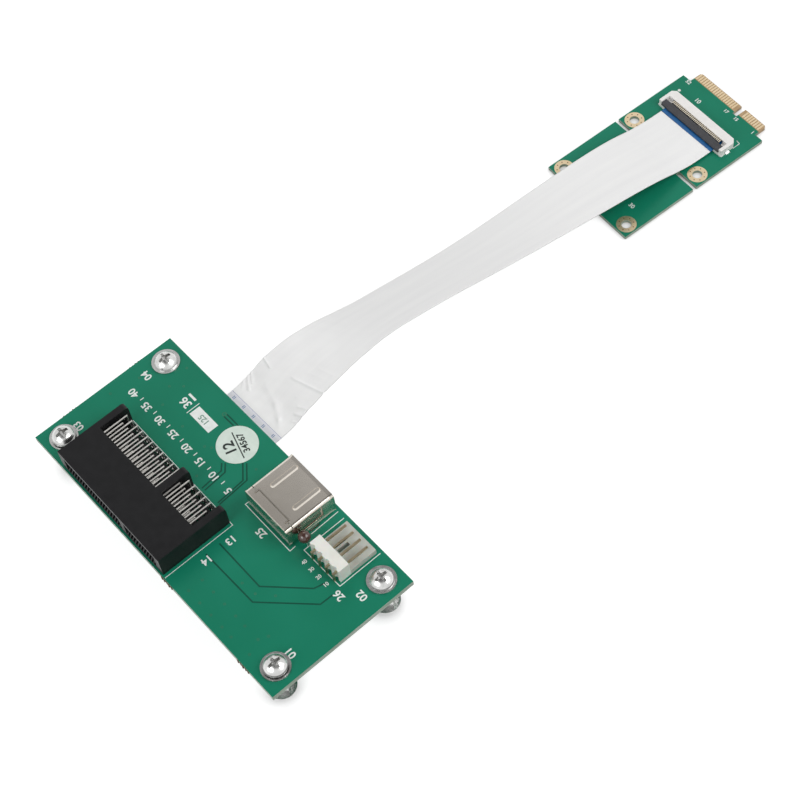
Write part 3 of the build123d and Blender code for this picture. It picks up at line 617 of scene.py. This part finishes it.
# White lines on the main board: a route and a width each
BOARD_OUTLINES = [
    ([(-33.5, -0.42), (6.0, -0.45), (6.0, -20.0)], 0.16),
    ([(3.8, 15.0), (3.8, 5.0), (20.2, 4.9), (20.1, 6.6)], 0.2),
    ([(20.2, 11.2), (20.0, 19.3)], 0.2),
    ([(22.2, 19.2), (22.2, 7.4), (34.7, 7.5), (34.7, 19.4)], 0.2),
    ([(-25.15, 10.15), (-25.15, 14.0)], 0.18),
]

# Plain numbers by the parts and screws: text, place and turn in degrees
BOARD_NUMBERS = [
    ("13", 8.7, -3.2, -90), ("14", 8.9, -10.3, -90), ("25", 12.1, 3.1, 180), ("26", 36.3, 5.9, 180),
    ("04", -40.3, 9.6, 180), ("03", -40.3, -10.8, 180), ("01", 39.6, -10.8, 180), ("02", 39.8, 9.6, 180),
]
NUMBER_HEIGHT = 1.9
HEADER_PIN_PITCH = 2.55
SCALE_ORIGIN = (3.5, 4.3)
SCALE_PITCH = 5.25
SCALE_STEPS = 8


def board_scale(low, high):
    """A scale in fives along the slot, with a tick between each two numbers."""
    x, y = SCALE_ORIGIN
    shapes = []
    for step in range(1, SCALE_STEPS + 1):
        shapes.append(digits(str(5 * step), x - SCALE_PITCH * step, y, NUMBER_HEIGHT, 180, low, high))
        if step < SCALE_STEPS:
            tick = x - SCALE_PITCH * (step + 0.5)
            shapes.append(bar(tick, tick + 0.22, y - 0.1, y + 1.0, low, high))
    return shapes


def board_ink(materials):
    """White marks on the main board: outlines round the parts, a scale, a block and plain numbers."""
    low, high = BOARD_TOP, BOARD_TOP + INK
    shapes = [line(route, width, low, high) for route, width in BOARD_OUTLINES]
    shapes += [
        bar(-24.5, -17.2, 10.5, 13.5, low, high),
        bar(-29.0, -26.4, 13.55, 14.15, low, high),
        digits("36", -27.6, 11.8, 2.2, 180, low, high),
    ]
    for text, x, y, turn in BOARD_NUMBERS:
        shapes.append(digits(text, x, y, NUMBER_HEIGHT, turn, low, high))
    for i in range(4):
        shapes.append(digits(str(40 - 10 * i), 24.6 + i * HEADER_PIN_PITCH, 5.5, 0.95, 90, low, high))
    shapes += board_scale(low, high)
    piece("board_ink", shapes, BOARD, materials["ink"])
    number = digits("125", -20.8, 12.0, 1.5, 180, high, high + 0.01)
    piece("block_print", [number], BOARD, materials["block_print"])


# Gaps between copper fields that show through the lacquer
GAP_LINES = [
    [(7.6, -5.6), (22.3, -5.68), (31.1, 2.9), (31.8, 5.6)],
    [(7.6, -9.5), (24.3, -9.2), (35.1, 1.5), (35.2, 5.0)],
    [(-8.6, 7.8), (-7.0, 6.4), (-6.5, 0.3)],
    [(-8.0, 8.4), (-6.1, 6.8), (-5.6, 0.4)],
    [(-5.2, 11.4), (-1.5, 8.5), (-0.9, 0.6)],
    [(-4.5, 12.0), (-0.9, 9.2), (-0.3, 0.6)],
    [(-14.6, 16.1), (-18.2, 16.0)],
    [(-13.8, 16.9), (-18.2, 16.9)],
]
GAP_WIDTH = 0.38


def board_traces(materials):
    """The gap lines and the covered holes, just proud of the lacquer."""
    low, high = BOARD_TOP, BOARD_TOP + 0.012
    shapes = [line(route, GAP_WIDTH, low, high) for route in GAP_LINES]
    piece("board_gap_lines", shapes, BOARD, materials["groove"])
    holes = [(x, y) for x in (12.2, 16.3, 20.35, 24.35, 27.65) for y in (-18.0, -14.1)]
    holes += [(33.2, -11.8), (32.2, -14.0), (33.7, -17.6), (19.0, -8.0), (23.1, -7.5), (26.6, -4.5)]
    holes += [(-35.2, 17.9), (-41.0, 7.9), (-34.0, 11.7), (-31.6, 14.2), (-31.0, 7.4), (-22.9, 7.2)]
    holes += [(-14.9, 7.6), (-13.5, 8.6), (-1.7, 12.6), (-9.9, 1.4), (-42.3, 0.1)]
    dots = [ring(x, y, 0.14, 0.34, low, high, 20) for x, y in holes]
    dots.append(ring(-18.6, 16.45, 0.3, 0.62, low, high, 24))
    piece("board_covered_holes", dots, BOARD, materials["via"])


def lead_tips(materials):
    """Tinned tips of the slot's leads where they pass its lead comb, in two rows."""
    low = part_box("slot_lead_aligner")[1].z / MM
    shapes = []
    half_long, half_wide = 0.28, 0.08
    for first, count in SLOT_LEAD_GROUPS:
        for i in range(count):
            x, y = first + i, SLOT_LEAD_ROWS[i % 2]
            shapes.append(bar(x - half_long, x + half_long, y - half_wide, y + half_wide, low, low + 0.02))
    piece("slot_lead_tips", shapes, BOARD, materials["lead"])


def usb_edges(materials):
    """The rounded rear edge of the shell's top and the shade in the seam before it."""
    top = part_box("usb_shell")[1].z / MM
    left, right, radius = 5.0, 19.0, 0.13
    angles = [math.pi * i / 6 for i in range(7)]
    outline = [(USB_REAR + radius * math.cos(a), top - 0.04 + radius * math.sin(a)) for a in angles]
    points = [(x, y, z) for x in (left, right) for y, z in outline]
    count = len(outline)
    faces = [tuple(range(count)), tuple(range(2 * count - 1, count - 1, -1))]
    faces += [(i, i + count, (i + 1) % count + count, (i + 1) % count) for i in range(count)]
    piece("usb_rear_edge", [(points, faces)], BOARD, materials["nickel"])
    seam = line([(6.64, 6.87), (6.64, 8.09), (17.36, 8.09), (17.36, 6.87)], 0.27, top - 0.12, top - 0.11)
    piece("usb_seam_shade", [seam], BOARD, materials["shade"])


def break_nibs(materials):
    """Rough stubs left on the board's edges where it was snapped from its panel."""
    low, high = BOARD_BOTTOM + 0.25, BOARD_TOP - 0.12
    pitch, half, deep = 0.88, 0.22, 0.28
    count = 5
    edge_x, edge_y = BOARD_HALF
    shapes = []
    for start in (5.1, 32.9):
        for i in range(count):
            x = start + i * pitch
            tip = -edge_y - deep * (0.75 + 0.25 * math.cos(2.3 * i + start))
            shapes.append(prism([(x - half, -edge_y), (x - 0.6 * half, tip), (x + 0.7 * half, tip),
                                 (x + half, -edge_y)], low, high))
    for start in (-11.8, 7.9):
        for i in range(count):
            y = start + i * pitch
            tip = -edge_x - deep * (0.7 + 0.3 * math.cos(1.9 * i + start))
            shapes.append(prism([(-edge_x, y + half), (tip, y + 0.6 * half), (tip, y - 0.7 * half),
                                 (-edge_x, y - half)], low, high))
    piece("board_break_nibs", shapes, BOARD, materials["break"])


def label_print(materials):
    """Plain numbers over and under a line on the round label."""
    low = BOARD_TOP + LABEL_THICKNESS
    high = low + INK
    shapes = [
        digits("12", -10.3, 11.7, 2.7, LABEL_TURN, low, high),
        line([(-13.4, 14.6), (-5.9, 12.4)], 0.28, low, high),
        digits("34567", -9.3, 14.9, 1.6, LABEL_TURN, low, high),
    ]
    piece("label_print", shapes, BOARD, materials["label_print"])


def card_ink(materials):
    """White corner lines, a dot and plain numbers on the small card."""
    low, high = CARD_TOP, CARD_TOP + INK
    width = 0.16
    shapes = [
        line([(11.9, 13.65), (11.9, 15.9), (10.7, 16.1)], width, low, high),
        line([(9.1, 9.5), (11.95, 9.5), (11.9, 10.8)], width, low, high),
        line([(-11.85, 10.4), (-11.85, 9.3), (-9.9, 9.2)], width, low, high),
        disc(-11.8, 16.6, 0.42, low, high),
    ]
    for text, x, y, size in (("52", -12.3, 20.3, 1.1), ("17", 1.6, 20.8, 1.0), ("15", 5.2, 20.9, 1.0),
                             ("1", 11.4, 21.0, 1.0), ("10", -5.9, 17.7, 1.3), ("30", 8.6, -18.2, 1.2)):
        shapes.append(digits(text, x, y, size, 0, low, high))
    piece("card_ink", shapes, CARD, materials["ink"])


def card_pad_holes(materials):
    """Small plated holes round each screw pad of the card, as flat dark discs: copper of the plating with
    painted shade for the holes' insides.
    """
    circle, radius = 1.95, 0.17
    shapes = []
    for x in (-CARD_HOLES_X, CARD_HOLES_X):
        for y in CARD_HOLES_Y:
            for i in range(8):
                angle = math.radians(45 * i + 22.5)
                middle = (x + circle * math.cos(angle), y + circle * math.sin(angle))
                shapes.append(disc(*middle, radius, CARD_TOP, CARD_TOP + 0.01, 12))
    piece("card_pad_holes", shapes, CARD, materials["pad_hole_shade"])


# Ribbon

def smooth_step(value, start, end):
    """0 up to the start, 1 from the end on, and a smooth rise between."""
    t = min(max((value - start) / (end - start), 0.0), 1.0)
    return t * t * (3 - 2 * t)


def ribbon_line():
    """Points read from the smooth curve through the route, in metres."""
    start = BOARD @ Vector((RIBBON_START[0] * MM, RIBBON_START[1] * MM, 0))
    end = CARD @ Vector((RIBBON_END[0] * MM, RIBBON_END[1] * MM, 0))
    along = (end - start).normalized()
    curve = bpy.data.curves.new("ribbon_line", "CURVE")
    curve.dimensions = "3D"
    curve.resolution_u = 60
    spline = curve.splines.new("NURBS")
    spline.points.add(len(RIBBON_ROUTE) - 1)
    for point, (distance, height) in zip(spline.points, RIBBON_ROUTE):
        place = start + along * distance
        point.co = (place.x, place.y, height, 1)
    spline.order_u = 3
    spline.use_endpoint_u = True
    holder = bpy.data.objects.new("ribbon_line", curve)
    mesh = bpy.data.meshes.new_from_object(holder)
    points = [v.co.copy() for v in mesh.vertices]
    bpy.data.objects.remove(holder)
    bpy.data.curves.remove(curve)
    bpy.data.meshes.remove(mesh)
    return points


def ribbon_twist(distance):
    """Turn about the ribbon's own line, in radians, with the +X edge up."""
    return TWIST * smooth_step(distance, *TWIST_COMES) * (1 - smooth_step(distance, *TWIST_GOES))


def ridge(distance, across, start, end, height, width):
    """A small fold along a straight stretch given by two places (across, distance)."""
    first, last, here = Vector(start), Vector(end), Vector((across, distance))
    run = last - first
    share = min(max((here - first).dot(run) / run.length_squared, 0.0), 1.0)
    gap = (here - first - run * share).length / width
    return height * math.exp(-gap * gap)


# Folds in the film by the main board: two ends (across, distance), height and width in millimetres
FOLDS = [
    ((-9.6, 9.6), (-7.6, 7.2), 0.30, 0.30), ((-9.6, 10.8), (-6.2, 8.4), 0.36, 0.34),
    ((-9.6, 12.0), (-6.9, 10.1), 0.30, 0.30), ((-9.6, 16.5), (-6.0, 15.9), 0.34, 0.26),
    ((-3.5, 12.2), (1.8, 10.9), 0.18, 1.0), ((1.8, 10.9), (5.3, 8.9), 0.30, 0.8),
    ((5.3, 8.9), (7.4, 6.9), 0.30, 0.6), ((0.5, 18.1), (9.6, 21.0), 0.32, 0.34),
    ((7.4, 12.6), (9.6, 13.8), 0.20, 0.30), ((6.9, 14.4), (9.6, 15.9), 0.20, 0.32),
    ((8.0, 10.9), (9.6, 11.6), 0.15, 0.27), ((2.2, 21.4), (6.4, 23.0), 0.10, 0.42),
    ((3.4, 24.0), (7.6, 25.2), 0.09, 0.45), ((4.6, 15.6), (7.0, 17.4), 0.10, 0.38),
]


def ribbon_crease(distance, across):
    """How far the film stands off its middle surface, in millimetres."""
    share = smooth_step(distance, *FOLDS_COME) * (1 - smooth_step(distance, *FOLDS_GO))
    if share == 0:
        return 0.0
    folds = sum(ridge(distance, across, *fold) for fold in FOLDS)
    wave = 0.05 * math.sin(distance * 0.75 + across * 0.4) + 0.02 * math.sin(distance * 1.9 - across * 1.1)
    return share * (folds + wave)


def make_ribbon(materials):
    """A closed strip of film swept along the ribbon's line, twisted and folded on its way."""
    points = ribbon_line()
    columns = RIBBON_COLUMNS
    side_flat = (CARD.to_3x3() + BOARD.to_3x3()) @ Vector((1, 0, 0))
    side_flat.normalize()
    distances = [0.0]
    for a, b in zip(points, points[1:]):
        distances.append(distances[-1] + (b - a).length)
    vertices, faces, places = [], [], []
    for i, point in enumerate(points):
        ahead = (points[min(i + 1, len(points) - 1)] - points[max(i - 1, 0)]).normalized()
        side = (side_flat - ahead * side_flat.dot(ahead)).normalized()
        up = side.cross(ahead).normalized()
        turn = ribbon_twist(distances[i] / MM)
        side, up = side * math.cos(turn) + up * math.sin(turn), up * math.cos(turn) - side * math.sin(turn)
        for level in (0.5, -0.5):
            for k in range(columns + 1):
                across = (k / columns - 0.5) * RIBBON_WIDTH
                lift = ribbon_crease(distances[i] / MM, across) + level * RIBBON_THICKNESS
                vertices.append(point + side * across * MM + up * lift * MM)
                places.append((across, distances[i] / MM))
    row = 2 * (columns + 1)
    for i in range(len(points) - 1):
        a, b = i * row, (i + 1) * row
        for k in range(columns):
            faces.append((a + k, a + k + 1, b + k + 1, b + k))
            c, d = a + columns + 1 + k, b + columns + 1 + k
            faces.append((c, d, d + 1, c + 1))
        for k in (0, columns):
            c = columns + 1 + k
            quad = (a + k, b + k, b + c, a + c)
            faces.append(quad if k == 0 else quad[::-1])
    last = (len(points) - 1) * row
    for base, turned in ((0, True), (last, False)):
        for k in range(columns):
            c = base + columns + 1 + k
            quad = (base + k, base + k + 1, c + 1, c)
            faces.append(quad[::-1] if turned else quad)
    mesh = bpy.data.meshes.new("ribbon_film")
    mesh.from_pydata(vertices, [], faces)
    layer = mesh.uv_layers.new(name="along")
    for loop in mesh.loops:
        layer.data[loop.index].uv = places[loop.vertex_index]
    for polygon in mesh.polygons:
        polygon.use_smooth = True
    mesh.materials.append(materials["ribbon"])
    film = bpy.data.objects.new("ribbon_film", mesh)
    bpy.context.scene.collection.objects.link(film)
    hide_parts("ribbon")
    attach(film, "adapter")


make_camera()
make_lights()
make_world()
make_floor()
bpy.context.scene.view_settings.view_transform = "Standard"
made_materials = make_materials()
dress_nodes(made_materials)
make_ribbon(made_materials)
board_ink(made_materials)
board_traces(made_materials)
lead_tips(made_materials)
usb_edges(made_materials)
break_nibs(made_materials)
label_print(made_materials)
card_ink(made_materials)
card_pad_holes(made_materials)
